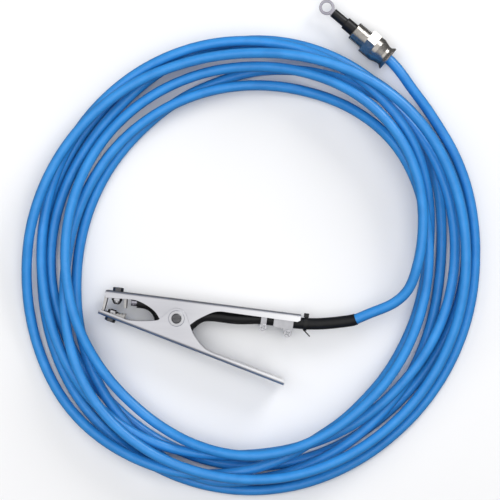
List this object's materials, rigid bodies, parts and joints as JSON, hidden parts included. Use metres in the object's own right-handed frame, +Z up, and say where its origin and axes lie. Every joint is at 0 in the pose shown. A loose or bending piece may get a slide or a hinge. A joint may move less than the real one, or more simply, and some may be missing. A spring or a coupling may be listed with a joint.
{
  "type": "welding ground clamp",
  "caption": "Spring ground clamp of pressed steel channel arms, with a long coiled work cable, strain-relief connector and ring terminal.",
  "frame": {"origin": "centre of the whole part's footprint, on the surface it rests on", "axes": "+Z up from the resting surface, +Y towards the ring terminal end of the coil, +X from the clamp's jaws towards its cable"},
  "size_m": [0.4926, 0.5326, 0.0604],
  "materials": {
    "plated_steel": "satin zinc plate",
    "dark_steel": "black oxide",
    "bright_steel": "bright plate",
    "spring_steel": "oiled",
    "contact_steel": "plated, worn",
    "tinned_copper": "tinned",
    "cable_jacket": "smooth, slightly glossy",
    "bare_copper": "bare copper strands",
    "black_sleeve": "satin",
    "black_nylon": "satin",
    "black_rubber": "matt",
    "nickel_plate": "nickel plate"
  },
  "bodies": {
    "cable_arm": {"upper_arm": "plated_steel", "pivot_bolt": "dark_steel", "pivot_washers": "bright_steel", "pivot_lock_nut": "dark_steel", "pivot_spacer": "bright_steel", "torsion_spring": "spring_steel", "upper_contact": "contact_steel", "jaw_terminal": "tinned_copper", "upper_contact_bolt": "dark_steel", "upper_contact_nut": "bright_steel", "cable_saddle": "plated_steel", "saddle_screws": "bright_steel", "saddle_nuts": "bright_steel", "cable": "cable_jacket", "cable_core": "bare_copper", "lead_sleeve": "black_sleeve", "heat_shrink": "black_sleeve", "cable_tie": "black_nylon", "ring_terminal": "tinned_copper", "barrel_sleeve": "black_sleeve", "cable_end_sleeve": "black_sleeve", "connector_body": "nickel_plate", "connector_grommet": "black_rubber", "connector_cap": "nickel_plate"},
    "free_arm": {"lower_arm": "plated_steel", "lower_contact": "contact_steel", "lower_contact_bolt": "dark_steel", "lower_contact_nut": "bright_steel"}
  },
  "joints": [
    {"name": "jaw_open", "type": "hinge", "parent": "cable_arm", "child": "free_arm", "pos_m": [-0.0797, -0.075, 0.0215], "axis": [0, 0, 1], "range_deg": [0, 20], "stiffness_Nm_per_rad": 4, "springref_deg": -20.05, "deforming": ["torsion_spring"]}
  ]
}
